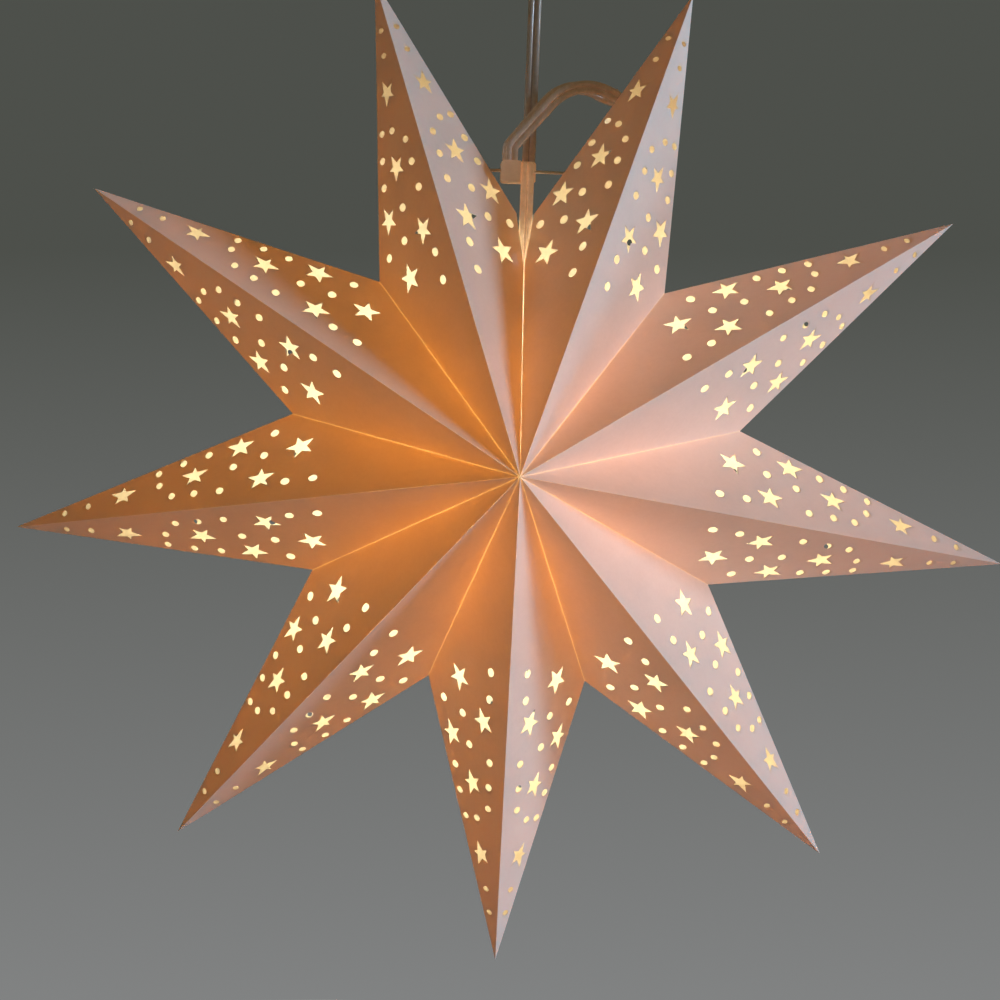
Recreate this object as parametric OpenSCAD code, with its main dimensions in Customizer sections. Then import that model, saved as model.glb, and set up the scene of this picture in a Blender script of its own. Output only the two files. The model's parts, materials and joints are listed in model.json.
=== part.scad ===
// Paper snowflake star: a nine-pointed folding paper lantern star with cut-out stars
// and dots, hung by a wire in its seam notch over a corded lampholder and bulb.
// Millimetres, +Z up, the star's own axis along Y, front facing -Y.
// Origin: centre of the star, half way between the front and rear apex.
// Points are numbered clockwise as seen from the front: point 1 is left of the top seam,
// point 2 right of it, point 6 hangs straight down. Each point is one folded sheet of four
// panels: front and rear, on the clockwise (cw) and anticlockwise (ccw) side of its ridge.

/* [Star] */
// Distance from the centre to a tip
tip_r = 300; // [280:1:320]
// Distance from the centre to the notch between two points
notch_r = 136.6; // [130:0.2:142]
// Half depth of the star, centre to front apex
half_depth = 105; // [95:1:115]
// Half the angle one point spans about the star's axis
half_angle = 20.2; // [19.9:0.05:20.3]
// Angle kept on the seam side of points 1 and 2, which are trimmed for the seam
seam_half_angle = 16.4; // [15.9:0.1:16.8]
// Height up to which the two edges of the seam lie side by side
seam_knee = 120; // [100:1:125]
// Gap left between them there
seam_gap = 1.0; // [0.6:0.1:3]
// Thickness of the paper
paper_t = 0.3; // [0.25:0.05:0.35]

/* [Cut-outs] */
// Radius of the round holes in the front panels
dot_r = 3.0; // [2:0.1:3.2]
// Radius of the round holes in the rear panels
rear_dot_r = 2.4; // [1.6:0.1:2.8]
// Outer radius of the star shaped holes
star_out = 9.5; // [7:0.1:9.7]
// Inner radius of the star shaped holes as a share of the outer radius
star_in = 0.42; // [0.36:0.01:0.48]

/* [Creases] */
// Relief left beside a ridge crease at the tip end
ridge_tip = 1.1; // [1:0.05:1.5]
// Relief left beside a ridge crease at the apex end
ridge_apex = 1.7; // [1.5:0.05:2.2]
// Relief left beside a valley crease at the notch end
valley_notch = 0.7; // [0.6:0.05:1]
// Relief left beside a valley crease at the apex end
valley_apex = 2.4; // [2:0.05:3]
// Relief left beside the side crease that joins front and rear panel
side_relief = 0.5; // [0.45:0.05:0.8]

/* [Hanging wire] */
// Height of the hanging wire above the centre
wire_z = 176; // [174:0.5:178]
// Set-back of the wire behind the middle plane, into the rear panels
wire_y = 3.2; // [3:0.1:3.6]
// Radius of the wire
wire_r = 0.9; // [0.7:0.05:1]
// Half the length of the wire
wire_half = 29; // [28:0.5:32]
// Hole radius of the two eyelets
eyelet_r = 2.2; // [2:0.05:2.4]

/* [Cord] */
// Radius of one insulated core of the twin flex
core_r = 1.95; // [1.6:0.05:1.95]
// Spacing of the two cores, centre to centre
core_pitch = 4.0; // [4:0.05:4.2]
// Height of the cut top end of the supply cable
cable_top = 296.3; // [280:0.1:460]
// Height of the top face of the cord grip
grip_top = 182; // [181:0.5:184]
// Height of the cord grip
grip_h = 13; // [12.5:0.5:15]

/* [Lamp] */
// Height of the top of the lampholder
holder_top = 80; // [78:1:84]
// Outer radius of the lampholder
holder_r = 14; // [13.5:0.1:15]
// Radius of the bulb globe
globe_r = 22.5; // [20:0.5:23]
// Outer radius of the E14 lamp cap
cap_r = 6.9; // [6.8:0.05:6.95]

/* [Hidden] */
$fn = 64;
paper_color = [0.95, 0.90, 0.84];
flex_color = [0.86, 0.84, 0.80];
steel_color = [0.75, 0.75, 0.77];
brass_color = [0.8, 0.62, 0.3];
grip_color = [0.93, 0.9, 0.86];
holder_color = [0.93, 0.92, 0.9];

// side of a ridge, and the apex that a panel starts from
cw = -1;
ccw = 1;
front = [0, -half_depth, 0];
rear = [0, half_depth, 0];

// how far a cutting shape runs past the face it cuts
over = 1;

// ---- Panel geometry: u runs along the ridge from the apex, v from the ridge towards the
// notch, w across the paper ----

ridge_len = norm([tip_r, half_depth]);
valley_len = norm([notch_r, half_depth]);
side_len = sqrt(tip_r * tip_r + notch_r * notch_r - 2 * tip_r * notch_r * cos(half_angle));
notch_u = (ridge_len * ridge_len + valley_len * valley_len - side_len * side_len)
  / (2 * ridge_len);
notch_v = sqrt(valley_len * valley_len - notch_u * notch_u);
tip_uv = [ridge_len, 0];
notch_uv = [notch_u, notch_v];
// share of the side crease that is left on a panel trimmed for the seam
seam_share = tip_r * tan(seam_half_angle)
  / (notch_r * sin(half_angle) - (notch_r * cos(half_angle) - tip_r) * tan(seam_half_angle));

function unit(vector) = vector / norm(vector);

// Point at a radius and angle in the middle plane, anticlockwise from +X seen from the front.
function polar(radius, angle) = radius * [cos(angle), 0, sin(angle)];

// Points are counted both ways from point 6 at the bottom, so point 1 follows 9 as a tenth.
function tip_angle(point) = 270 - ((point == 1 ? 10 : point) - 6) * 2 * half_angle;
function tip(point) = polar(tip_r, tip_angle(point));
function notch(point, side) = polar(notch_r, tip_angle(point) + side * half_angle);

// unit vectors of a panel
function u_axis(point, apex) = unit(tip(point) - apex);
function v_axis(point, side, apex) =
  let (edge = notch(point, side) - apex, u = u_axis(point, apex)) unit(edge - (edge * u) * u);
function w_axis(point, side, apex) = cross(u_axis(point, apex), v_axis(point, side, apex));

// true where w points out of the star
function w_is_outward(point, side, apex) = w_axis(point, side, apex)[1] * apex[1] > 0;

// matrix that carries u, v, w into the star's frame
function panel_frame(point, side, apex) =
  let (u = u_axis(point, apex), v = v_axis(point, side, apex), w = w_axis(point, side, apex))
  [for (i = [0:2]) [u[i], v[i], w[i], apex[i]], [0, 0, 0, 1]];

// u, v of a place on a panel, given from the apex
function to_uv(place, point, side, apex) =
  [place * u_axis(point, apex), place * v_axis(point, side, apex)];

// where the hanging wire goes through a rear panel, as u, v
function wire_uv(point, side) =
  let (w = w_axis(point, side, rear),
    x = -(w[1] * (wire_y - half_depth) + w[2] * wire_z) / w[0])
  to_uv([x, wire_y, wire_z] - rear, point, side, rear);

// the bend in the free edge of a seam panel, as u, v: below it the two panels nearly touch
knee_uv =
  let (w = w_axis(2, ccw, front),
    x = seam_gap / 2,
    y = -(w[0] * x + w[2] * seam_knee) / w[1])
  to_uv([x, y, seam_knee], 2, ccw, front);

// the two panels of a side that meet at the seam
function at_seam(point, side) =
  (point == 1 && side == cw) || (point == 2 && side == ccw);

// a line as [start, run], and the crossing of two such lines
function line(from, to) = [from, to - from];
function crossing(a, b) =
  let (gap = b[0] - a[0])
  a[0] + a[1] * ((gap[0] * b[1][1] - gap[1] * b[1][0])
    / (a[1][0] * b[1][1] - a[1][1] * b[1][0]));

// ---- Paper panels ----

cutout_fn = 12;
// u, v of the round holes of a front panel
dots = [
  [130, 16.3], [147.8, 16], [189, 13.2], [205.6, 13], [220.1, 12.7], [230.9, 22.7],
  [185, 32.5], [166.7, 39.8], [164, 58.2], [204, 45], [219.2, 39.6], [234, 33],
  [275, 11.2], [289.5, 7.2]
];
// u, v and turn of each star shaped hole of a front panel
stars = [[164.5, 20.6, 9], [144.3, 44.3, -6], [209.1, 28, 9], [184.3, 49, 9], [253.5, 17.4, 9]];
// u, v of the fewer, smaller round holes of a rear panel
rear_dots = [
  [140.5, 19.7], [163.2, 10.5], [150.5, 33.6], [167.6, 28.3], [191.6, 22.2], [214, 18],
  [177.5, 45.5]
];

// outline of a panel inside its creases; trimmed is true for a seam panel
module outline(trimmed) {
  valley_end = trimmed ? knee_uv : notch_uv;
  // directions from the valley and the side crease into the panel
  valley_in = unit([valley_end[1], -valley_end[0]]);
  side_in = unit([tip_uv[1] - notch_uv[1], notch_uv[0] - tip_uv[0]]);
  ridge = line([0, ridge_apex], [ridge_len, ridge_tip]);
  valley = line(valley_in * valley_apex, valley_end + valley_in * (trimmed ? 0 : valley_notch));
  side = [notch_uv + side_in * side_relief, tip_uv - notch_uv];
  seam = line(knee_uv, tip_uv + seam_share * (notch_uv - tip_uv));
  if (trimmed)
    polygon([crossing(ridge, valley), crossing(ridge, side), crossing(seam, side), knee_uv]);
  else
    polygon([crossing(ridge, valley), crossing(ridge, side), crossing(valley, side)]);
}

module five_star(turn) {
  rotate(turn)
    polygon([for (i = [0:9]) (i % 2 == 0 ? star_out : star_out * star_in)
      * [cos(36 * i), sin(36 * i)]]);
}

module round_holes(places, radius) {
  for (place = places) translate(place) circle(radius, $fn = cutout_fn);
}

// one perforated panel, with its outer face on the star's surface
module panel(point, side, apex) {
  trimmed = at_seam(point, side);
  color(paper_color)
    multmatrix(panel_frame(point, side, apex))
      translate([0, 0, w_is_outward(point, side, apex) ? -paper_t : 0])
        linear_extrude(paper_t)
          difference() {
            outline(trimmed);
            if (apex == front) {
              round_holes(dots, dot_r);
              for (star = stars) translate([star[0], star[1]]) five_star(star[2]);
            } else round_holes(rear_dots, rear_dot_r);
            if (trimmed && apex == rear) round_holes([wire_uv(point, side)], eyelet_r);
          }
}

module point_1_front_cw() { panel(1, cw, front); }
module point_1_front_ccw() { panel(1, ccw, front); }
module point_1_rear_cw() { panel(1, cw, rear); }
module point_1_rear_ccw() { panel(1, ccw, rear); }
module point_2_front_cw() { panel(2, cw, front); }
module point_2_front_ccw() { panel(2, ccw, front); }
module point_2_rear_cw() { panel(2, cw, rear); }
module point_2_rear_ccw() { panel(2, ccw, rear); }
module point_3_front_cw() { panel(3, cw, front); }
module point_3_front_ccw() { panel(3, ccw, front); }
module point_3_rear_cw() { panel(3, cw, rear); }
module point_3_rear_ccw() { panel(3, ccw, rear); }
module point_4_front_cw() { panel(4, cw, front); }
module point_4_front_ccw() { panel(4, ccw, front); }
module point_4_rear_cw() { panel(4, cw, rear); }
module point_4_rear_ccw() { panel(4, ccw, rear); }
module point_5_front_cw() { panel(5, cw, front); }
module point_5_front_ccw() { panel(5, ccw, front); }
module point_5_rear_cw() { panel(5, cw, rear); }
module point_5_rear_ccw() { panel(5, ccw, rear); }
module point_6_front_cw() { panel(6, cw, front); }
module point_6_front_ccw() { panel(6, ccw, front); }
module point_6_rear_cw() { panel(6, cw, rear); }
module point_6_rear_ccw() { panel(6, ccw, rear); }
module point_7_front_cw() { panel(7, cw, front); }
module point_7_front_ccw() { panel(7, ccw, front); }
module point_7_rear_cw() { panel(7, cw, rear); }
module point_7_rear_ccw() { panel(7, ccw, rear); }
module point_8_front_cw() { panel(8, cw, front); }
module point_8_front_ccw() { panel(8, ccw, front); }
module point_8_rear_cw() { panel(8, cw, rear); }
module point_8_rear_ccw() { panel(8, ccw, rear); }
module point_9_front_cw() { panel(9, cw, front); }
module point_9_front_ccw() { panel(9, ccw, front); }
module point_9_rear_cw() { panel(9, cw, rear); }
module point_9_rear_ccw() { panel(9, ccw, rear); }

// ---- Hanging wire and eyelets ----

eyelet_t = 0.5;
eyelet_rim = 1.4;

// metal eyelet on the outer face of a rear panel, round the wire
module eyelet(point, side) {
  place = wire_uv(point, side);
  color([0.25, 0.22, 0.2])
    multmatrix(panel_frame(point, side, rear))
      translate([place[0], place[1], w_is_outward(point, side, rear) ? 0 : -eyelet_t])
        difference() {
          cylinder(h = eyelet_t, r = eyelet_r + eyelet_rim);
          translate([0, 0, -over]) cylinder(h = 3, r = eyelet_r);
        }
}

module eyelet_left() { eyelet(1, cw); }
module eyelet_right() { eyelet(2, ccw); }

// straight hanging wire through the cord grip and the two eyelets
module wire_bracket() {
  color(steel_color)
    translate([-wire_half, wire_y, wire_z]) rotate([0, 90, 0])
      cylinder(h = 2 * wire_half, r = wire_r);
}

// ---- Flex ----

// One core of a run of flex: a list of ["straight", length] and ["bend", angle, radius]
// steps, starting along +Z and bending towards -X; offset is the core's in the bend plane.
module core(run, offset, i = 0) {
  if (i < len(run)) {
    step = run[i];
    if (step[0] == "straight") {
      translate([offset, 0, 0]) cylinder(h = step[1], r = core_r);
      translate([0, 0, step[1]]) core(run, offset, i + 1);
    } else {
      angle = step[1];
      radius = step[2];
      translate([-radius, 0, 0]) rotate([90, 0, 0])
        rotate_extrude(angle = angle) translate([radius + offset, 0]) circle(core_r);
      translate([-radius * (1 - cos(angle)), 0, radius * sin(angle)])
        rotate([0, -angle, 0]) core(run, offset, i + 1);
    }
  }
}

module flex(run) {
  for (side = [-1, 1]) core(run, side * core_pitch / 2);
}

supply_x = 1.2;
supply_y = 15;
// twin flex from the cord grip straight up towards the ceiling
module supply_cable() {
  color(flex_color)
    translate([supply_x, supply_y, grip_top]) flex([["straight", cable_top - grip_top]]);
}

// The slack loop is two legs that lean outwards from an upright axis, joined by a flat turn.
loop_axis = [-37.4, -14.4, 0];
loop_heading = 26;       // direction of the loop about its axis, from +X
loop_spread = 4;         // half the angle between the legs
loop_foot = 30;          // distance from the axis to the foot of a leg
loop_rise = 6;           // straight length at the foot
foot_bend = 6;           // bend radius above it
loop_lean = 42;          // lean of a leg after that bend
loop_up = 34;            // straight length of the leaning part
loop_bend = 34;          // radius of the upper bend
loop_drop = 20;          // slope below horizontal after the upper bend
loop_end = 4;            // straight length before the turn
bend_gap = 0.2;          // angle left open where an arc meets the next part
loop_z0 = grip_top + 0.1;
lean_out = foot_bend * (1 - cos(loop_lean));
lean_z = loop_rise + foot_bend * sin(loop_lean);
// where a leg of the loop ends: distance from the loop's axis and height
loop_reach = loop_foot + lean_out + loop_up * sin(loop_lean)
  + loop_bend * (cos(loop_lean) + sin(loop_drop)) + loop_end * cos(loop_drop);
loop_z = loop_z0 + lean_z + loop_up * cos(loop_lean)
  + loop_bend * (cos(loop_drop) - sin(loop_lean)) - loop_end * sin(loop_drop);
turn_tilt = atan(tan(loop_drop) / cos(loop_spread));
turn_spread = asin(sin(loop_spread) * cos(loop_drop));
turn_r = loop_reach * sin(loop_spread) / cos(turn_spread);

// one leg of the loop, leaning towards +X
module loop_leg() {
  mirror([1, 0, 0]) flex([["straight", loop_rise], ["bend", loop_lean - bend_gap, foot_bend]]);
  translate([lean_out, 0, lean_z]) rotate([0, loop_lean, 0])
    mirror([1, 0, 0])
      flex([["straight", loop_up], ["bend", 90 - loop_lean + loop_drop, loop_bend],
        ["straight", loop_end]]);
}

// the turn that joins the ends of the two legs
module loop_turn() {
  translate([turn_r * sin(turn_spread), 0, 0])
    for (side = [-1, 1]) translate([0, 0, side * core_pitch / 2])
      rotate([0, 0, bend_gap - 90 - turn_spread])
        rotate_extrude(angle = 180 - 2 * bend_gap + 2 * turn_spread)
          translate([turn_r, 0]) circle(core_r);
}

// spare length of the flex: up from the grip, over to the right, round and back to the grip
module slack_loop() {
  $fn = 36;
  color(flex_color)
    translate(loop_axis) rotate([0, 0, loop_heading]) {
      for (side = [-1, 1]) rotate([0, 0, side * loop_spread])
        translate([loop_foot, 0, loop_z0]) loop_leg();
      translate([loop_reach * cos(loop_spread), 0, loop_z]) rotate([0, turn_tilt, 0])
        loop_turn();
    }
}

lamp_cable_x = 0.5;
lamp_cable_bottom = holder_top - 8;
lamp_cable_straight_top = wire_z + 0.8;
lamp_cable_bend = 3.2;
// twin flex from the lampholder up through the seam, then back over the wire to the front
// face of the grip's shelf
module lamp_cable() {
  color(flex_color)
    for (side = [-1, 1])
      translate([lamp_cable_x + side * core_pitch / 2, 0, lamp_cable_bottom])
        rotate([0, 0, -90])
          core([["straight", lamp_cable_straight_top - lamp_cable_bottom],
            ["bend", 90, lamp_cable_bend]], 0);
}

// ---- Cord grip: a clamp on the left and a shelf on the right, behind the lamp cable ----

grip_bottom = grip_top - grip_h;
grip_left = -15.5;
clamp_right = -4.2;
shelf_right = 5.4;
shelf_left = -3.7;       // left end of the space in front of the shelf
grip_front_y = -8;
grip_split_y = -2.1;     // joint between the front and back half
shelf_front_y = 3.3;
grip_back_y = 19;
grip_corner_r = 2;
grip_screw_x = -10;
grip_screw_z = grip_bottom + 2.8;
grip_screw_r = 1.5;
grip_screw_tip_y = -6;
grip_screw_head_h = 2;

// rounded rectangle between two corners, low and high
module rounded_rect(low, high, radius) {
  size = high - low;
  translate([low[0] + radius, low[1]]) square([size[0] - 2 * radius, size[1]]);
  translate([low[0], low[1] + radius]) square([size[0], size[1] - 2 * radius]);
  for (x = [low[0] + radius, high[0] - radius], y = [low[1] + radius, high[1] - radius])
    translate([x, y]) circle(radius);
}

// bar of the cord grip between two depths and out to its right end
module grip_bar(front_y, back_y, right) {
  translate([0, back_y, 0]) rotate([90, 0, 0]) linear_extrude(back_y - front_y)
    rounded_rect([grip_left, grip_bottom], [right, grip_top], grip_corner_r);
}

// the bores of the cord grip for the wire and the clamp screw
module grip_bores(screw_r) {
  bore_back_y = 40;
  translate([-50, wire_y, wire_z]) rotate([0, 90, 0]) cylinder(h = 100, r = wire_r + 0.05);
  translate([grip_screw_x, bore_back_y, grip_screw_z]) rotate([90, 0, 0])
    cylinder(h = bore_back_y - grip_screw_tip_y + 0.2, r = screw_r);
}

module cord_grip_front() {
  color(grip_color)
    difference() {
      grip_bar(grip_front_y, grip_split_y, clamp_right);
      grip_bores(grip_screw_r);
    }
}

// back half, with the shelf that both straight cables end in
module cord_grip_back() {
  color(grip_color)
    difference() {
      grip_bar(grip_split_y, grip_back_y, shelf_right);
      translate([shelf_left, grip_split_y - over, grip_bottom - over])
        cube([20, shelf_front_y - grip_split_y + over, grip_h + 2 * over]);
      grip_bores(grip_screw_r + 0.2);
    }
}

// clamp screw from the back, threaded into the front half
module cord_grip_screw() {
  color(steel_color)
    translate([grip_screw_x, grip_back_y, grip_screw_z]) rotate([90, 0, 0])
      difference() {
        union() {
          cylinder(h = grip_back_y - grip_screw_tip_y, r = grip_screw_r);
          translate([0, 0, -grip_screw_head_h]) cylinder(h = grip_screw_head_h, r = 3);
        }
        translate([-4, -0.4, -grip_screw_head_h - over]) cube([8, 0.8, 1 + over]);
      }
}

// ---- Lampholder ----

holder_cap_h = 22;
holder_shell_h = 36;
holder_wall = 2;
holder_joint = holder_top - holder_cap_h;
holder_bottom = holder_joint - holder_shell_h;
holder_inner_r = holder_r - holder_wall;
cord_hole_r = 4.6;
insulator_h = 12;
insulator_z = holder_joint - insulator_h;
screw_shell_h = 20;
terminal_x = 8;
terminal_r = 1.25;
terminal_depth = 6;
terminal_head_h = 1.6;

// cord entry cap of the lampholder, with upright grooves round its skirt
module lampholder_cap() {
  color(holder_color)
    difference() {
      // radius and height: outside from the cord hole down, then back up the inside
      rotate_extrude()
        polygon([[cord_hole_r, holder_top], [8, holder_top], [holder_r, holder_top - 10],
          [holder_r, holder_joint], [holder_inner_r, holder_joint],
          [holder_inner_r, holder_top - 11], [7, holder_top - 3],
          [cord_hole_r, holder_top - 3]]);
      for (i = [0:11]) rotate([0, 0, 30 * i])
        translate([holder_r + 0.3, 0, holder_top - 20]) cylinder(h = 8, r = 0.8);
    }
}

// lower shell of the lampholder with the outside rings the shade ring runs on
module lampholder_shell() {
  color(holder_color)
    difference() {
      union() {
        translate([0, 0, holder_bottom]) cylinder(h = holder_shell_h, r = holder_r);
        for (i = [0:3])
          translate([0, 0, holder_bottom + 3 + 3.5 * i]) cylinder(h = 1.5, r = holder_r + 0.9);
        translate([0, 0, holder_bottom + 22]) cylinder(h = 2, r = holder_r + 2);
      }
      translate([0, 0, holder_bottom - over])
        cylinder(h = holder_shell_h + 2 * over, r = holder_inner_r);
    }
}

// moulded block inside the lampholder that carries the contacts
module lampholder_insulator() {
  color([0.86, 0.84, 0.8])
    translate([0, 0, insulator_z])
      difference() {
        cylinder(h = insulator_h, r = holder_inner_r);
        translate([0, 0, -over]) cylinder(h = 3 + over, r = 5);
        for (side = [-1, 1])
          translate([terminal_x * side, 0, insulator_h - terminal_depth])
            cylinder(h = terminal_depth + over, r = terminal_r);
      }
}

// threaded brass shell that takes the lamp cap
module screw_shell() {
  color(brass_color)
    translate([0, 0, insulator_z - screw_shell_h])
      difference() {
        cylinder(h = screw_shell_h, r = cap_r + 0.75);
        translate([0, 0, -over]) cylinder(h = screw_shell_h + 2 * over, r = cap_r + 0.35);
      }
}

// spring contact over the lamp's end contact
module centre_contact() {
  size = [8.8, 3, 0.6];
  color(brass_color)
    translate([0, 0, insulator_z + 1.4])
      rotate([0, 0, 45]) translate([-size[0] / 2, -size[1] / 2, 0]) cube(size);
}

// the two screws that hold the cores of the lamp cable
module terminal_screws() {
  slot_depth = 0.7;
  color(steel_color)
    for (side = [-1, 1]) translate([terminal_x * side, 0, holder_joint - terminal_depth])
      difference() {
        union() {
          cylinder(h = terminal_depth, r = terminal_r);
          translate([0, 0, terminal_depth]) cylinder(h = terminal_head_h, r = 2.4);
        }
        translate([-3, -0.35, terminal_depth + terminal_head_h - slot_depth]) cube([6, 0.7, 1]);
      }
}

// loose ring on the outside of the lampholder, with a notched flange
module shade_ring() {
  flange_r = holder_r + 6;
  color(holder_color)
    difference() {
      union() {
        translate([0, 0, holder_bottom + 7]) cylinder(h = 8, r = holder_r + 3);
        translate([0, 0, holder_bottom + 13]) cylinder(h = 2.4, r = flange_r);
      }
      translate([0, 0, holder_bottom + 6]) cylinder(h = 12, r = holder_r + 1);
      for (i = [0:15]) rotate([0, 0, 22.5 * i])
        translate([flange_r + 0.4, 0, holder_bottom + 12]) cylinder(h = 5, r = 1);
    }
}

// ---- Bulb ----

cap_h = 16;
cap_bottom = holder_bottom + 5;
cap_top = cap_bottom + cap_h;
globe_z = cap_bottom - 35;
neck_r = 6.2;
glass_t = 0.9;
collar_h = 2;
cap_thread_r = 0.9;
filament_r = 9;          // radius of the filament arc
lead_r = 0.35;
lead_rise = 8;

// glass envelope: globe with a straight neck into the cap
module bulb_glass() {
  color([0.98, 0.95, 0.85, 0.6])
    translate([0, 0, globe_z]) rotate_extrude()
      intersection() {
        translate([0, -40]) square([40, 90]);
        difference() {
          union() {
            circle(globe_r);
            square([neck_r, 38.5]);
          }
          circle(globe_r - glass_t);
          translate([-over, 0]) square([neck_r - glass_t + over, 45]);
        }
      }
}

// rolled metal lamp cap with its thread rings, closed at the top
module bulb_cap() {
  color([0.8, 0.78, 0.74])
    translate([0, 0, cap_bottom]) rotate_extrude()
      difference() {
        union() {
          square([cap_r - 0.5, cap_h]);
          for (i = [0:3])
            translate([cap_r - cap_thread_r, 3.2 + 3.1 * i]) circle(cap_thread_r);
        }
        translate([0, -1]) square([cap_r - 0.65, cap_h]);
      }
}

// dark glass collar between the cap and the end contact
module bulb_insulator() {
  color([0.1, 0.1, 0.12])
    translate([0, 0, cap_top]) rotate_extrude()
      polygon([[0, 0], [5.5, 0], [3.4, collar_h], [0, collar_h]]);
}

module bulb_contact() {
  color([0.75, 0.75, 0.75])
    translate([0, 0, cap_top + collar_h]) cylinder(h = 0.9, r = 2.4);
}

// glass stem that carries the filament
module bulb_stem() {
  foot_r = neck_r - 1;
  stem_top = 38.4;
  // radius and height above the globe's centre
  color([0.9, 0.92, 0.92])
    translate([0, 0, globe_z]) rotate_extrude()
      polygon([[0, 6], [1.6, 6], [2.2, 10], [2.2, 34], [foot_r, 37], [foot_r, stem_top],
        [0, stem_top]]);
}

// filament arc, hanging from two lead wires that rise and turn in to the stem
module bulb_filament() {
  color([1, 0.8, 0.4])
    translate([0, 0, globe_z]) {
      rotate([-90, 0, 0]) rotate_extrude(angle = 180) translate([filament_r, 0]) circle(0.6);
      for (side = [-1, 1]) translate([filament_r * side, 0, 0])
        cylinder(h = lead_rise, r = lead_r);
      for (side = [-1, 1]) translate([filament_r * side, 0, lead_rise])
        rotate([0, -90 * side, 0]) translate([0, 0, -lead_r]) cylinder(h = 7.3, r = lead_r);
    }
}

point_1_front_cw();
point_1_front_ccw();
point_1_rear_cw();
point_1_rear_ccw();
point_2_front_cw();
point_2_front_ccw();
point_2_rear_cw();
point_2_rear_ccw();
point_3_front_cw();
point_3_front_ccw();
point_3_rear_cw();
point_3_rear_ccw();
point_4_front_cw();
point_4_front_ccw();
point_4_rear_cw();
point_4_rear_ccw();
point_5_front_cw();
point_5_front_ccw();
point_5_rear_cw();
point_5_rear_ccw();
point_6_front_cw();
point_6_front_ccw();
point_6_rear_cw();
point_6_rear_ccw();
point_7_front_cw();
point_7_front_ccw();
point_7_rear_cw();
point_7_rear_ccw();
point_8_front_cw();
point_8_front_ccw();
point_8_rear_cw();
point_8_rear_ccw();
point_9_front_cw();
point_9_front_ccw();
point_9_rear_cw();
point_9_rear_ccw();
supply_cable();
slack_loop();
lamp_cable();
cord_grip_front();
cord_grip_back();
cord_grip_screw();
wire_bracket();
eyelet_left();
eyelet_right();
lampholder_cap();
lampholder_shell();
lampholder_insulator();
screw_shell();
centre_contact();
terminal_screws();
shade_ring();
bulb_glass();
bulb_cap();
bulb_insulator();
bulb_contact();
bulb_stem();
bulb_filament();
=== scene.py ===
"""Nine-pointed folded paper star lantern, lit from inside by a bulb.

The star is centred on the origin with its points spread in the XZ plane. Its two apexes lie on
the Y axis, and the camera looks along +Y at it. Each point has four flat panels, front and rear,
clockwise (cw) and counterclockwise (ccw). A panel is a triangle with three creases: the ridge
from apex to tip, the side from tip to notch and the valley from notch to apex.
"""

import json
import math
import random

import bpy
import numpy as np
from mathutils import Matrix, Vector
from mathutils.geometry import delaunay_2d_cdt


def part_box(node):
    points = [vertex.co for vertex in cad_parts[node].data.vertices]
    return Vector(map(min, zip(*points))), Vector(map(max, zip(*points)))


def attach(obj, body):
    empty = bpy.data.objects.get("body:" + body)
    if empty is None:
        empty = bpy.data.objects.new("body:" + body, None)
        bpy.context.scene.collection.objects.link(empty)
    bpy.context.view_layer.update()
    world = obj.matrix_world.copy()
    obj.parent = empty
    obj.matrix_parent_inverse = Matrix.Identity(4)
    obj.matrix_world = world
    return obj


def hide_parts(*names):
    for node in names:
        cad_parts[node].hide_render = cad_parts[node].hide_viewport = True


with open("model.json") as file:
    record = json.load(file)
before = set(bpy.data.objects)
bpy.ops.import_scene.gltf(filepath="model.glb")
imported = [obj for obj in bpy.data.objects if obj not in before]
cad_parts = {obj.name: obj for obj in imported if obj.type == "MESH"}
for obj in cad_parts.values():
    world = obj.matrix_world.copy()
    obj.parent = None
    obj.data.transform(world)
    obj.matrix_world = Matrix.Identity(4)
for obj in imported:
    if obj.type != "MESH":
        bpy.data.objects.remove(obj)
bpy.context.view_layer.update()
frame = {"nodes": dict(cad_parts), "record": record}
joints = {joint["name"]: joint for joint in frame["record"]["behaviour"]["joints"]}

MM = 0.001
MM_PER_M = 1 / MM

# ---------------------------------------------------------------- paper sizes, metres
PAPER_THICKNESS = 0.0003
SEAM_KNEE_HEIGHT = 0.120    # z below which the two edges of the seam lie side by side
SEAM_GAP = 0.0006
SEAM_ANGLE = 16.4           # degrees about Y from a tip to its seam corner
SEAM_PANELS = {(1, "cw"), (2, "ccw")}

# mitre angles in degrees; the ridge leaves room for its half angle to fall from 40 to 20
RIDGE_MITRE = 15.5
SIDE_MITRE = 52.9
VALLEY_MITRE = 49.5
SEAM_INSET = 0.2            # inset of the seam's inner edge, in paper thicknesses

# ---------------------------------------------------------------- cut-outs and mesh, mm
# place of each round hole: along the ridge from the apex, across towards the notch
FRONT_DOTS = [
    (130, 16.3), (147.8, 16), (189, 13.2), (205.6, 13), (220.1, 12.7), (230.9, 22.7), (185, 32.5),
    (166.7, 39.8), (164, 58.2), (204, 45), (219.2, 39.6), (234, 33), (275, 11.2), (289.5, 7.2),
]
REAR_DOTS = [
    (140.5, 19.7), (163.2, 10.5), (150.5, 33.6), (167.6, 28.3), (191.6, 22.2), (214, 18),
    (177.5, 45.5),
]
# place of each star-shaped hole: along, across, turn in degrees
FRONT_STARS = [
    (164.5, 20.6, 9), (144.3, 44.3, -6), (209.1, 28, 9), (184.3, 49, 9), (253.5, 17.4, 9),
]
FRONT_DOT_RADIUS = 3.0
REAR_DOT_RADIUS = 2.4
DOT_SEGMENTS = 22
STAR_RADIUS = 9.5
STAR_INNER_RATIO = 0.42
WIRE_HOLE_RADIUS = 2.2
WIRE_HOLE_SEGMENTS = 20

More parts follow.
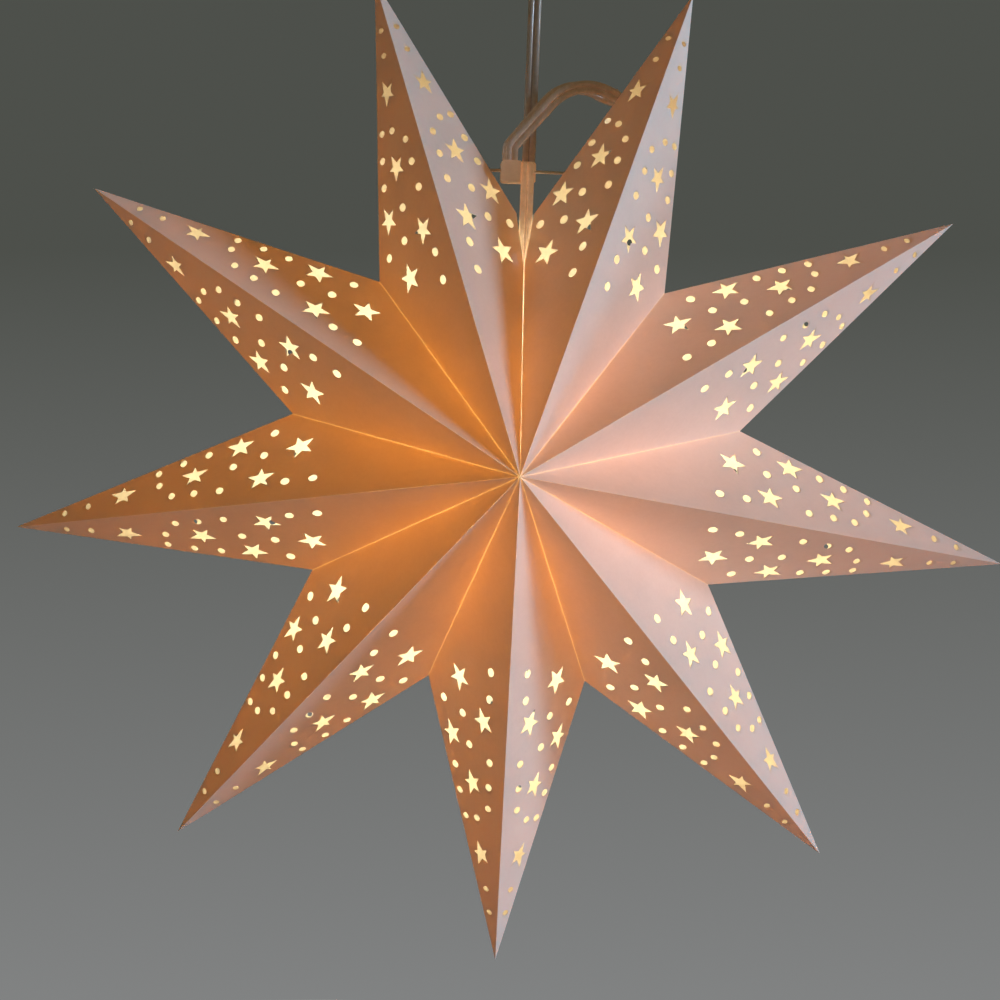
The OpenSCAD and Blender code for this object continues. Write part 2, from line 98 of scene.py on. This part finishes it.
RIDGE_CLEARANCE = 0.02      # keeps the two edges of a ridge from crossing when it folds
OUTLINE_STEP = 9.0
GRID_STEP = 8.0
GRID_ROW_RATIO = 0.9        # row spacing over column spacing
GRID_EDGE_MARGIN = 3.0
GRID_HOLE_MARGIN = 1.5
WAVE_FALLOFF = 9.0          # distance over which the wave dies out at a crease
SEAM_LOOSENESS = 3.0        # lets the wave run on to the seam's free edge


# ---------------------------------------------------------------- creases of the star
def joint_place(name):
    return np.array(joints[name]["pos_m"], float)


def crease_points():
    """Apexes, tips and notches, solved from the hinges at the middle of each crease."""
    front = (joint_place("ridge_7_front") + joint_place("valley_7_8_front")
             - joint_place("side_7_cw"))
    rear = front * np.array([1, -1, 1])
    tips, notches = {}, {}
    for k in range(1, 10):
        tips[k] = 2 * joint_place(f"ridge_{k}_front") - front
        for side in ("cw", "ccw"):
            notches[k, side] = 2 * joint_place(f"side_{k}_{side}") - tips[k]
    return {"front": front, "rear": rear}, tips, notches


APEXES, TIPS, NOTCHES = crease_points()


def unit(vector):
    return vector / np.linalg.norm(vector)


def seam_corner(k, side):
    """Point on the side crease level with the top of the CAD panel's cut edge."""
    tip = TIPS[k]
    turn = (-1 if side == "cw" else 1) * math.radians(SEAM_ANGLE)
    angle = math.atan2(tip[2], tip[0]) + turn
    run = NOTCHES[k, side] - tip
    share = ((tip[0] * math.sin(angle) - tip[2] * math.cos(angle))
             / (run[2] * math.cos(angle) - run[0] * math.sin(angle)))
    return tip + share * run


class Panel:
    """Flat frame of a panel: along the ridge from the apex, across to the notch, outward."""

    def __init__(self, k, face, side):
        self.face = face
        self.name = f"point_{k}_{face}_{side}"
        self.apex = APEXES[face]
        self.at_seam = (k, side) in SEAM_PANELS
        tip = TIPS[k]
        notch = seam_corner(k, side) if self.at_seam else NOTCHES[k, side]
        self.along = unit(tip - self.apex)
        reach = notch - self.apex
        self.across = unit(reach - (reach @ self.along) * self.along)
        normal = np.cross(self.along, self.across)
        self.right_handed = normal[1] * self.apex[1] > 0
        self.outward = normal if self.right_handed else -normal
        self.flat_tip = np.array([np.linalg.norm(tip - self.apex), 0.0])
        self.flat_notch = self.flatten(notch)
        self.outline = [np.zeros(2), self.flat_tip, self.flat_notch]
        if self.at_seam:
            x = SEAM_GAP / 2 * (1 if tip[0] > 0 else -1)
            z = SEAM_KNEE_HEIGHT
            out = self.outward
            y = self.apex[1] - (out[0] * x + out[2] * z) / out[1]
            self.outline.append(self.flatten(np.array([x, y, z])))

    def flatten(self, point):
        reach = point - self.apex
        return np.array([reach @ self.along, reach @ self.across])

    def place(self, x, y, height):
        return self.apex + self.along * x + self.across * y + self.outward * height


# ---------------------------------------------------------------- flat geometry
def ring(x, y, radius, segments, turn=0.0):
    angles = [turn + 2 * math.pi * i / segments for i in range(segments)]
    return [(x + radius * math.cos(a), y + radius * math.sin(a)) for a in angles]


def star_ring(x, y, radius, inner_ratio, turn):
    points = []
    for i in range(10):
        reach = radius if i % 2 == 0 else radius * inner_ratio
        angle = math.radians(turn + 36 * i)
        points.append((x + reach * math.cos(angle), y + reach * math.sin(angle)))
    return points


def inside(point, polygon):
    x, y = point
    hit = False
    for i in range(len(polygon)):
        xi, yi = polygon[i]
        xj, yj = polygon[i - 1]
        if (yi > y) != (yj > y) and x < (xj - xi) * (y - yi) / (yj - yi) + xi:
            hit = not hit
    return hit


def edge_points(start, end, step):
    count = max(1, int(round(np.linalg.norm(end - start) / step)))
    return [tuple(start + (end - start) * i / count) for i in range(count)]


def segment_distance(point, start, end):
    run = end - start
    share = max(0.0, min(1.0, float((point - start) @ run) / float(run @ run)))
    return float(np.linalg.norm(point - start - share * run))


def line_crossing(point_a, run_a, point_b, run_b):
    cross = run_a[0] * run_b[1] - run_a[1] * run_b[0]
    gap = point_b - point_a
    return point_a + run_a * ((gap[0] * run_b[1] - gap[1] * run_b[0]) / cross)


# ---------------------------------------------------------------- one sheet of paper
def inner_map(panel):
    """Affine map of the outer triangle on to the mitred inner one, a thickness below it."""
    def mitre(angle):
        return PAPER_THICKNESS / math.tan(math.radians(angle))

    tip, notch = panel.flat_tip, panel.flat_notch
    ridge_run = np.array([1.0, 0.0])
    valley_run = unit(notch)
    side_run = unit(tip - notch)
    valley_normal = np.array([valley_run[1], -valley_run[0]])
    side_normal = unit(np.array([-abs(side_run[1]), -abs(side_run[0])]))
    valley_inset = SEAM_INSET * PAPER_THICKNESS if panel.at_seam else -mitre(VALLEY_MITRE)
    on_ridge = np.array([0.0, mitre(RIDGE_MITRE)])
    on_valley = valley_normal * valley_inset
    on_side = notch + side_normal * mitre(SIDE_MITRE)
    inner_apex = line_crossing(on_ridge, ridge_run, on_valley, valley_run)
    inner_tip = line_crossing(on_ridge, ridge_run, on_side, side_run)
    inner_notch = line_crossing(on_valley, valley_run, on_side, side_run)
    outer = np.column_stack([tip, notch])
    inner = np.column_stack([inner_tip - inner_apex, inner_notch - inner_apex])
    turn = inner @ np.linalg.inv(outer)
    return lambda point: inner_apex + turn @ point


def sheet_corners(panel):
    """Outline corners in mm, those on the ridge slid a little way along their other edge."""
    corners = [c * MM_PER_M for c in panel.outline]
    count = len(corners)
    slid = []
    for i, corner in enumerate(corners):
        if corner[1] < 1e-6:
            neighbours = (corners[i - 1], corners[(i + 1) % count])
            end = max(neighbours, key=lambda q: q[1])
            corner = corner + (end - corner) * RIDGE_CLEARANCE / end[1]
        slid.append(corner)
    return slid


def cut_outs(panel, draw):
    """Hole outlines in mm, each slightly off its nominal size and turn."""
    front = panel.face == "front"
    dot_radius = FRONT_DOT_RADIUS if front else REAR_DOT_RADIUS
    holes = []
    for x, y in FRONT_DOTS if front else REAR_DOTS:
        radius = dot_radius * (1 + draw.uniform(-0.03, 0.03))
        holes.append(ring(x, y, radius, DOT_SEGMENTS, draw.random()))
    for x, y, turn in FRONT_STARS if front else []:
        radius = STAR_RADIUS * (1 + draw.uniform(-0.02, 0.02))
        inner_ratio = STAR_INNER_RATIO * (1 + draw.uniform(-0.04, 0.04))
        holes.append(star_ring(x, y, radius, inner_ratio, turn + draw.uniform(-2.5, 2.5)))
    if panel.at_seam and not front:
        # the wire runs along X through this panel
        wire = joint_place("star_tilt")
        out, apex = panel.outward, panel.apex
        x = -(out[1] * (wire[1] - apex[1]) + out[2] * (wire[2] - apex[2])) / out[0] + apex[0]
        centre = panel.flatten(np.array([x, wire[1], wire[2]])) * MM_PER_M
        holes.append(ring(*centre.tolist(), WIRE_HOLE_RADIUS, WIRE_HOLE_SEGMENTS))
    return holes


def grid_points(length, corners, edges, holes):
    """Staggered grid over the sheet, clear of its edges and cut-outs."""
    circles = []
    for hole in holes:
        centre = np.mean(np.array(hole), axis=0)
        circles.append((centre, max(np.linalg.norm(np.array(q) - centre) for q in hole)))
    rows = int(max(c[1] for c in corners) / (GRID_ROW_RATIO * GRID_STEP)) + 2
    columns = int(length / GRID_STEP) + 2
    points = []
    for i in range(columns):
        for j in range(rows):
            point = np.array([(i + 0.5 * (j % 2)) * GRID_STEP, j * GRID_STEP * GRID_ROW_RATIO])
            if not inside(point, corners):
                continue
            if min(segment_distance(point, a, b) for a, b in edges) < GRID_EDGE_MARGIN:
                continue
            if any(np.linalg.norm(point - centre) < radius + GRID_HOLE_MARGIN
                   for centre, radius in circles):
                continue
            points.append(tuple(point))
    return points


def triangulate(corners, outline, holes, grid):
    """Points and counterclockwise triangles of the sheet with its holes left open."""
    points, borders = [], []
    for loop in [outline] + holes:
        base, count = len(points), len(loop)
        points.extend(loop)
        borders.extend((base + i, base + (i + 1) % count) for i in range(count))
    points.extend(grid)
    found = delaunay_2d_cdt([Vector(q) for q in points], borders, [], 0, 1e-6)
    points = [np.array((q.x, q.y)) for q in found[0]]
    kept = []
    for face in found[2]:
        middle = sum(points[i] for i in face) / len(face)
        if not inside(middle, corners) or any(inside(middle, hole) for hole in holes):
            continue
        a, b, c = (points[i] for i in face)
        area = (b[0] - a[0]) * (c[1] - a[1]) - (b[1] - a[1]) * (c[0] - a[0])
        if abs(area) >= 1e-9:
            kept.append(tuple(face) if area > 0 else tuple(reversed(face)))
    used = sorted({i for face in kept for i in face})
    index = {old: new for new, old in enumerate(used)}
    return [points[i] for i in used], [tuple(index[i] for i in face) for face in kept]


def sheet_wave(panel, edges, draw):
    """Gentle wave of the sheet in mm: one broad bulge and two finer ripples."""
    tip, notch = panel.flat_tip * MM_PER_M, panel.flat_notch * MM_PER_M
    phases = [draw.uniform(0, 6.28) for _ in range(4)]
    bulge = draw.uniform(0.35, 0.7) * (1 if draw.random() < 0.7 else -1)
    looseness = SEAM_LOOSENESS if panel.at_seam else 0.0

    def height(point):
        x, y = point
        to_side = segment_distance(point, tip, notch)
        to_valley = min(segment_distance(point, a, b) for a, b in edges[2:])
        nearest = min(y, to_side, to_valley + looseness)
        fade = 1 - math.exp(-(nearest / WAVE_FALLOFF) ** 2)
        return fade * (bulge * (0.6 + 0.4 * math.sin(x / 38 + phases[0]))
                       + 0.22 * math.sin(x / 23 + y / 17 + phases[1])
                       + 0.12 * math.sin(x / 11 - y / 13 + phases[2]))

    return height


def panel_mesh(panel, seed):
    """Closed thin sheet: places, faces, and the flat point in metres under each place.

    The first half of the places is the outer face, the second half the inner one.
    """
    draw = random.Random(seed)
    corners = sheet_corners(panel)
    edges = [(corners[i], corners[(i + 1) % len(corners)]) for i in range(len(corners))]
    outline = [q for a, b in edges for q in edge_points(a, b, OUTLINE_STEP)]
    holes = cut_outs(panel, draw)
    grid = grid_points(panel.flat_tip[0] * MM_PER_M, corners, edges, holes)
    points, triangles = triangulate(corners, outline, holes, grid)
    wave = sheet_wave(panel, edges, draw)
    heights = [wave(q) * MM for q in points]
    flat = [q * MM for q in points]
    inner = inner_map(panel)
    places = [panel.place(q[0], q[1], h) for q, h in zip(flat, heights)]
    places += [panel.place(*inner(q), h - PAPER_THICKNESS) for q, h in zip(flat, heights)]

    count = len(points)
    if not panel.right_handed:
        triangles = [tuple(reversed(face)) for face in triangles]
    faces = []
    for face in triangles:
        faces += [face, tuple(i + count for i in reversed(face))]
    # a wall closes the sheet along every border edge
    directed = dict.fromkeys((f[i], f[(i + 1) % 3]) for f in triangles for i in range(3))
    faces += [(b, a, a + count, b + count) for a, b in directed if (b, a) not in directed]
    return places, faces, flat * 2


def make_object(name, places, faces):
    mesh = bpy.data.meshes.new(name)
    mesh.from_pydata([tuple(p) for p in places], [], faces)
    mesh.validate()
    mesh.update()
    made = bpy.data.objects.new(name, mesh)
    bpy.context.scene.collection.objects.link(made)
    return made


# ---------------------------------------------------------------- shader helpers
class Tree:
    """Node tree of a material or world, with short calls for the nodes used here."""

    def __init__(self, owner, output_kind):
        owner.use_nodes = True
        self.tree = owner.node_tree
        self.tree.nodes.clear()
        self.output = self.node(output_kind)

    def node(self, kind, inputs=None, **settings):
        made = self.tree.nodes.new(kind)
        for key, value in settings.items():
            setattr(made, key, value)
        for key, value in (inputs or {}).items():
            if isinstance(value, bpy.types.NodeSocket):
                self.tree.links.new(value, made.inputs[key])
            else:
                made.inputs[key].default_value = value
        return made

    def finish(self, shader):
        self.tree.links.new(shader, self.output.inputs["Surface"])

    def object_place(self):
        return self.node("ShaderNodeTexCoord").outputs["Object"]

    def math(self, operation, *values, clamp=False):
        return self.node("ShaderNodeMath", dict(enumerate(values)),
                         operation=operation, use_clamp=clamp).outputs[0]

    def weigh(self, first, first_weight, second, second_weight):
        return self.math("ADD", self.math("MULTIPLY", first, first_weight),
                         self.math("MULTIPLY", second, second_weight))

    def scaled(self, vector, factor):
        return self.node("ShaderNodeVectorMath", {0: vector, "Scale": factor},
                         operation="SCALE").outputs[0]

    def noise(self, place, scale, detail, roughness, distortion=0.0):
        return self.node("ShaderNodeTexNoise", {
            "Vector": place, "Scale": scale, "Detail": detail,
            "Roughness": roughness, "Distortion": distortion}).outputs["Fac"]

    def ease(self, value, low, high, start=0.0, end=1.0):
        """Smooth step from start to end as the value runs from low to high."""
        return self.node("ShaderNodeMapRange", {
            "Value": value, "From Min": low, "From Max": high, "To Min": start, "To Max": end},
            clamp=True, interpolation_type="SMOOTHSTEP").outputs["Result"]

    def mix(self, share, first, second):
        return self.node("ShaderNodeMix", {0: share, 6: first, 7: second},
                         data_type="RGBA").outputs[2]

    def mottle(self, tone, dark, light):
        return self.mix(self.ease(tone, low=0.3, high=0.7), dark, light)

    def bump(self, height, strength, distance):
        return self.node("ShaderNodeBump", {
            "Strength": strength, "Distance": distance, "Height": height}).outputs["Normal"]

    def add_shaders(self, first, second):
        return self.node("ShaderNodeAddShader", {0: first, 1: second}).outputs[0]

    def mix_shaders(self, share, first, second):
        return self.node("ShaderNodeMixShader", {0: share, 1: first, 2: second}).outputs[0]


def material_tree(name):
    material = bpy.data.materials.new(name)
    return material, Tree(material, "ShaderNodeOutputMaterial")


def rgb(red, green, blue):
    return (red, green, blue, 1.0)


# ---------------------------------------------------------------- paper
def paper_material(valley_angle):
    """Thin white paper: fibres, cloudy tone and a brighter glow along the valley crease."""
    material, t = material_tree("lantern_paper")
    place = t.object_place()
    sheet_map = t.node("ShaderNodeUVMap", uv_map="sheet").outputs[0]
    along, across, _ = t.node("ShaderNodeSeparateXYZ", {0: sheet_map}).outputs

    # distance in mm from the valley crease, over a glow width in mm that wavers
    gap = t.math("SUBTRACT", t.math("MULTIPLY", along, math.sin(valley_angle)),
                 t.math("MULTIPLY", across, math.cos(valley_angle)))
    gap = t.math("MULTIPLY", t.math("ABSOLUTE", gap), 1000.0)
    waver = t.noise(place, scale=90, detail=2, roughness=0.5)
    width = t.math("MULTIPLY_ADD", waver, 0.9, 0.45)
    near = t.math("SUBTRACT", 1.0, t.math("DIVIDE", gap, width), clamp=True)
    glow_strength = 1.0
    glow = t.math("MULTIPLY", near, glow_strength)

    cloud = t.noise(place, scale=26, detail=5, roughness=0.6)
    fibre = t.noise(place, scale=420, detail=6, roughness=0.7, distortion=0.6)
    fine = t.noise(place, scale=1500, detail=3, roughness=0.6)
    tone = t.weigh(cloud, 0.6, fibre, 0.4)

    # the inner face is painted warmer, a painted tint for the bulb's warm light falling on it,
    # and painted darker near the middle, a painted shade that tones down the bulb's stronger
    # light there
    reflected = t.mottle(tone, dark=rgb(0.84, 0.82, 0.78), light=rgb(0.90, 0.88, 0.84))
    painted_centre_shade = t.ease(t.math("MULTIPLY", along, 1000.0), low=100.0, high=240.0, start=0.54, end=1.0)
    warm = t.mottle(tone, dark=rgb(0.82, 0.77, 0.65), light=rgb(0.88, 0.83, 0.71))
    painted_inner_tint_shade = t.scaled(warm, painted_centre_shade)
    within = t.node("ShaderNodeAttribute", attribute_name="inside").outputs["Fac"]
    reflected = t.mix(within, reflected, painted_inner_tint_shade)

    # the sheet's transmission is painted higher towards the tips, painted light that evens the
    # glow where the bulb's light inside the star falls off
    passed = t.mottle(tone, dark=rgb(0.203, 0.0575, 0.0036), light=rgb(0.226, 0.0655, 0.0046))
    passed = t.mix(glow, passed, rgb(0.42, 0.20, 0.055))
    rise_start, rise_length = 0.02, 0.22    # metres along the ridge
    run = t.math("MULTIPLY_ADD", along, 1 / rise_length, -rise_start / rise_length)
    run = t.math("MAXIMUM", run, 0.0)
    rise_power, rise_gain, least = 2.2, 0.50, 0.28
    painted_glow_evening = t.math("MULTIPLY_ADD", t.math("POWER", run, rise_power), rise_gain, least)
    passed = t.scaled(passed, painted_glow_evening)

    normal = t.bump(t.weigh(fibre, 0.6, fine, 0.4), strength=0.25, distance=0.0003)
    diffuse = t.node("ShaderNodeBsdfDiffuse", {
        "Color": reflected, "Normal": normal, "Roughness": 0.5}).outputs[0]
    translucent = t.node("ShaderNodeBsdfTranslucent", {
        "Color": passed, "Normal": normal}).outputs[0]
    sheet = t.add_shaders(diffuse, translucent)
    gloss = t.node("ShaderNodeBsdfGlossy", {
        "Color": rgb(0.8, 0.8, 0.8),
        "Roughness": t.ease(fibre, low=0.3, high=0.7, start=0.5, end=0.68),
        "Normal": normal}).outputs[0]
    gloss_share = 0.02
    front = t.mix_shaders(gloss_share, sheet, gloss)

    # both faces of the sheet act as one scattering layer: light already inside it passes on
    backfacing = t.node("ShaderNodeNewGeometry").outputs["Backfacing"]
    clear = t.node("ShaderNodeBsdfTransparent").outputs[0]
    t.finish(t.mix_shaders(backfacing, front, clear))
    return material


def paper_sheet(k, face, side, material):
    panel = Panel(k, face, side)
    seed = 100 * k + (10 if face == "rear" else 0) + (1 if side == "cw" else 2)
    places, faces, flat = panel_mesh(panel, seed)
    sheet = make_object(f"sheet_{k}_{face}_{side}", places, faces)
    mesh = sheet.data
    uv_data = mesh.uv_layers.new(name="sheet").data
    half = len(flat) // 2
    within = mesh.attributes.new("inside", "FLOAT", "POINT")
    within.data.foreach_set("value", [float(i >= half) for i in range(len(mesh.vertices))])
    for loop in mesh.loops:
        uv_data[loop.index].uv = flat[loop.vertex_index].tolist()
    mesh.materials.append(material)
    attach(sheet, panel.name)
    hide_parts(panel.name)


valley_end = Panel(6, "front", "cw").flat_notch
paper = paper_material(math.atan2(valley_end[1], valley_end[0]))
for k in range(1, 10):
    for face in ("front", "rear"):
        for side in ("cw", "ccw"):
            paper_sheet(k, face, side, paper)


# ---------------------------------------------------------------- hardware
def surface(name, base, rough, *, mottled, scale, bump, depth, metal=0.0, spec=0.5,
            transmission=0.0, coat=0.0, subsurface=0.0, emission=None, strength=0.0,
            streak=None, light_base=None, lets_light_by=False):
    """Mottled surface: scale sets the noise, streak stretches it, depth is the bump in metres."""
    material, t = material_tree(name)
    place = t.object_place()
    coarse_place = place
    if streak:
        coarse_place = t.node("ShaderNodeMapping", {"Vector": place, "Scale": streak}).outputs[0]
    coarse = t.noise(coarse_place, scale=scale, detail=5, roughness=0.6)
    fine = t.noise(place, scale=scale * 9, detail=3, roughness=0.6)
    tone = t.weigh(coarse, 0.7, fine, 0.3)
    dark = rgb(*[c * (1 - mottled) for c in base])
    light = rgb(*[min(1.0, c * (1 + mottled * 0.6)) for c in light_base or base])
    inputs = {
        "Base Color": t.mottle(tone, dark, light),
        "Roughness": t.ease(coarse, low=0.25, high=0.75,
                            start=max(0.02, rough - 0.07), end=rough + 0.09),
        "Metallic": metal,
        "Specular IOR Level": spec,
        "Transmission Weight": transmission,
        "Coat Weight": coat,
        "Subsurface Weight": subsurface,
    }
    if subsurface:
        inputs["Subsurface Radius"] = (0.004, 0.003, 0.002)
    if emission:
        dim = rgb(*[c * 0.94 for c in emission])
        inputs["Emission Color"] = t.mottle(tone, dim, rgb(*emission))
        inputs["Emission Strength"] = strength
    relief = t.math("ADD", coarse, t.math("MULTIPLY", fine, 0.4))
    inputs["Normal"] = t.bump(relief, bump, depth)
    shader = t.node("ShaderNodeBsdfPrincipled", inputs).outputs[0]
    if lets_light_by:
        shadow_ray = t.node("ShaderNodeLightPath").outputs["Is Shadow Ray"]
        clear = t.node("ShaderNodeBsdfTransparent").outputs[0]
        shader = t.mix_shaders(shadow_ray, shader, clear)
    t.finish(shader)
    return material


def dress(material, *names):
    for name in names:
        slots = frame["nodes"][name].data.materials
        if not slots:
            slots.append(material)
        for i in range(len(slots)):
            slots[i] = material


# painted glow: the clear sheath is given a warm emission, strongest near the lamp, that stands in
# for the lamp's and the paper's light falling on the flex
for part, name, glow in (("supply_cable", "clear_flex_far", 0.015),
                         ("slack_loop", "clear_flex_loop", 0.06),
                         ("lamp_cable", "clear_flex_near", 0.22)):
    dress(surface(name, (0.62, 0.50, 0.44), rough=0.2, spec=0.7, mottled=0.18, scale=35,
                  bump=0.08, depth=0.0003, subsurface=0.5, coat=0.5, streak=(1, 1, 0.15),
                  light_base=(0.74, 0.62, 0.56), emission=(1.0, 0.47, 0.2), strength=glow), part)

# painted glow: the grip is given a warm emission that stands in for the lamp's light falling on
# it
dress(surface("grip_plastic", (0.74, 0.58, 0.46), rough=0.35, mottled=0.1, scale=80,
              bump=0.15, depth=0.0002, coat=0.2, subsurface=0.4,
              emission=(1.0, 0.45, 0.2), strength=0.16),
      "cord_grip_front", "cord_grip_back")
dress(surface("drawn_wire", (0.84, 0.68, 0.54), rough=0.42, metal=0.5, mottled=0.2, scale=120,
              streak=(0.1, 1, 1), bump=0.2, depth=0.0001),
      "wire_bracket")
dress(surface("turned_steel", (0.55, 0.54, 0.53), rough=0.28, metal=1.0, mottled=0.15,
              scale=300, bump=0.2, depth=0.00005),
      "cord_grip_screw", "terminal_screws")
dress(surface("dark_eyelet", (0.06, 0.05, 0.045), rough=0.42, metal=0.6, mottled=0.25,
              scale=250, bump=0.2, depth=0.0001),
      "eyelet_left", "eyelet_right")
dress(surface("holder_plastic", (0.80, 0.79, 0.76), rough=0.3, mottled=0.05, scale=90,
              bump=0.06, depth=0.0002, coat=0.15),
      "lampholder_cap", "lampholder_shell", "shade_ring")
dress(surface("steatite", (0.78, 0.75, 0.69), rough=0.6, mottled=0.1, scale=140,
              bump=0.3, depth=0.0002),
      "lampholder_insulator")
dress(surface("brass", (0.80, 0.58, 0.25), rough=0.27, metal=1.0, mottled=0.15, scale=150,
              bump=0.12, depth=0.0001),
      "screw_shell", "centre_contact")
dress(surface("rolled_cap", (0.72, 0.70, 0.66), rough=0.3, metal=1.0, mottled=0.15, scale=200,
              streak=(1, 1, 6), bump=0.15, depth=0.0001),
      "bulb_cap", "bulb_contact")
dress(surface("black_glass", (0.02, 0.02, 0.025), rough=0.12, mottled=0.3, scale=120,
              bump=0.05, depth=0.0001),
      "bulb_insulator")
dress(surface("opal_glass", (0.95, 0.88, 0.74), rough=0.3, mottled=0.03, scale=40,
              bump=0.02, depth=0.0001, emission=(1.0, 0.62, 0.30), strength=1.6,
              lets_light_by=True),
      "bulb_glass")
dress(surface("stem_glass", (0.8, 0.82, 0.8), rough=0.1, mottled=0.05, scale=60,
              transmission=0.8, bump=0.02, depth=0.0001, lets_light_by=True),
      "bulb_stem")
dress(surface("hot_filament", (0.9, 0.6, 0.3), rough=0.4, mottled=0.1, scale=500,
              emission=(1.0, 0.5, 0.18), strength=40.0, bump=0.1, depth=0.00005,
              lets_light_by=True),
      "bulb_filament")

# ---------------------------------------------------------------- lights
scene = bpy.context.scene


def point_light(name, place, energy, color, radius):
    light = bpy.data.lights.new(name, "POINT")
    light.energy = energy
    light.color = color
    light.shadow_soft_size = radius
    light.cycles.use_multiple_importance_sampling = False
    holder = bpy.data.objects.new(name, light)
    holder.location = place
    scene.collection.objects.link(holder)


def direction(azimuth, elevation):
    """Unit vector from degrees: azimuth from -Y towards +X, elevation up from level."""
    a, e = math.radians(azimuth), math.radians(elevation)
    return Vector((math.sin(a) * math.cos(e), -math.cos(a) * math.cos(e), math.sin(e)))


def key_light(name, azimuth, elevation, energy, color):
    """Disc light that faces the middle of the star."""
    light = bpy.data.lights.new(name, "AREA")
    light.shape = "DISK"
    light.size = 0.60
    light.energy = energy
    light.color = color
    holder = bpy.data.objects.new(name, light)
    holder.location = direction(azimuth, elevation) * 2.6
    holder.rotation_euler = (-holder.location).to_track_quat("-Z", "Y").to_euler()
    scene.collection.objects.link(holder)


low, high = (Vector(corner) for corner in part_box("bulb_glass"))
globe_radius = (high.x - low.x) / 2
globe = Vector(((low.x + high.x) / 2, (low.y + high.y) / 2, low.z + globe_radius))
point_light("bulb_light", globe, energy=2.2, color=(1.0, 0.90, 0.64), radius=0.8 * globe_radius)

# light that the white holder and the paper above it throw back up past the bulb's shadow
above_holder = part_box("lampholder_cap")[1][2] + 0.02
point_light("thrown_back", (globe.x, globe.y, above_holder), energy=0.15,
            color=(1.0, 0.80, 0.52), radius=0.015)

# soft cool light from the right (+X), almost along the face of the star
key_light("key_high", azimuth=74, elevation=18, energy=30.6, color=(0.57, 0.775, 0.98))
key_light("key_low", azimuth=86, elevation=-15, energy=16.8, color=(0.55, 0.765, 0.98))


# ---------------------------------------------------------------- world
def build_world():
    """Dim warm ambient light; the camera sees a grey backdrop that darkens upwards."""
    world = bpy.data.worlds.new("studio")
    scene.world = world
    t = Tree(world, "ShaderNodeOutputWorld")
    camera_ray = t.node("ShaderNodeLightPath").outputs["Is Camera Ray"]
    ambient = t.node("ShaderNodeBackground", {0: rgb(1.0, 0.95, 0.52), 1: 0.067}).outputs[0]
    window = t.node("ShaderNodeTexCoord").outputs["Window"]
    window_height = t.node("ShaderNodeSeparateXYZ", {0: window}).outputs[1]
    ramp = t.node("ShaderNodeValToRGB", {0: window_height})
    bottom, top = ramp.color_ramp.elements
    bottom.position, bottom.color = 0.0, rgb(0.22, 0.225, 0.225)
    top.position, top.color = 0.75, rgb(0.075, 0.08, 0.07)
    backdrop = t.node("ShaderNodeBackground", {0: ramp.outputs[0], 1: 1.0}).outputs[0]
    t.finish(t.mix_shaders(camera_ray, ambient, backdrop))


build_world()


# ---------------------------------------------------------------- floor
def floor_material():
    """Pale for the camera, without adding its glow to the star."""
    material, t = material_tree("pale_floor")
    grain = t.noise(t.object_place(), scale=14, detail=5, roughness=0.6)
    tint = t.mottle(grain, dark=rgb(0.40, 0.395, 0.38), light=rgb(0.46, 0.455, 0.44))
    diffuse = t.node("ShaderNodeBsdfDiffuse", {
        "Color": rgb(0.62, 0.61, 0.59),
        "Normal": t.bump(grain, strength=0.2, distance=0.001)}).outputs[0]
    camera_ray = t.node("ShaderNodeLightPath").outputs["Is Camera Ray"]
    glow_strength = 0.6
    glow = t.node("ShaderNodeEmission", {
        "Color": tint, "Strength": t.math("MULTIPLY", camera_ray, glow_strength)}).outputs[0]
    t.finish(t.add_shaders(diffuse, glow))
    return material


FLOOR_RADIUS = 1.5
FLOOR_SEGMENTS = 64
FLOOR_DROP = 0.42           # below the reach of the points
floor_z = -float(np.linalg.norm(TIPS[6])) - FLOOR_DROP
rim = [(x, y, floor_z) for x, y in ring(0.0, 0.0, FLOOR_RADIUS, FLOOR_SEGMENTS)]
floor = make_object("floor", [(0.0, 0.0, floor_z)] + rim,
                    [(0, 1 + i, 1 + (i + 1) % FLOOR_SEGMENTS) for i in range(FLOOR_SEGMENTS)])
floor.data.materials.append(floor_material())


# ---------------------------------------------------------------- camera
def build_camera(azimuth, elevation, roll, distance):
    """Camera aimed at the origin and rolled about its view, with its frame shifted."""
    data = bpy.data.cameras.new("camera")
    camera = bpy.data.objects.new("camera", data)
    scene.collection.objects.link(camera)
    scene.camera = camera
    camera.location = direction(azimuth, elevation) * distance
    forward = -camera.location.normalized()
    right = forward.cross(Vector((0, 0, 1))).normalized()
    up = right.cross(forward)
    cos_roll, sin_roll = math.cos(math.radians(roll)), math.sin(math.radians(roll))
    rolled_right = right * cos_roll + up * sin_roll
    rolled_up = up * cos_roll - right * sin_roll
    axes = Matrix((rolled_right, rolled_up, -forward)).transposed()
    camera.rotation_euler = axes.to_euler()
    data.sensor_width = 36.0
    data.lens = 96.0372
    data.shift_x = -0.0151
    data.shift_y = -0.0341
    data.clip_start = 0.05


build_camera(azimuth=-1.69, elevation=3.27, roll=2.307, distance=1.6)

scene.view_settings.view_transform = "Standard"
scene.view_settings.look = "None"
scene.view_settings.exposure = 0.0
scene.view_settings.gamma = 1.0
